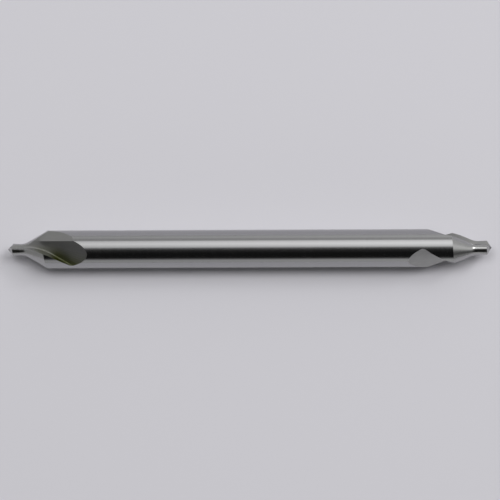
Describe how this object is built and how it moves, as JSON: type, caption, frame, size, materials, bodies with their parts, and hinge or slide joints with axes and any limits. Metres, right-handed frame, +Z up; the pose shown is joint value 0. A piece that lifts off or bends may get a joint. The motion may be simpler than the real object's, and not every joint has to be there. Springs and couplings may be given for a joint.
{
  "type": "centre drill",
  "caption": "Double-ended centre drill: a plain round shank with a fluted pilot drill and sixty degree countersink at each end.",
  "frame": {"origin": "middle of the tool, on its axis", "axes": "+X along the axis to the end whose land faces up; +Z up towards the viewer as the tool lies, with the flute of the -X end facing up; +Y completes the frame"},
  "size_m": [0.1018, 0.008, 0.008],
  "materials": {
    "ground_steel": "bright ground"
  },
  "bodies": {
    "root": {"centre_drill": "ground_steel"}
  },
  "joints": []
}
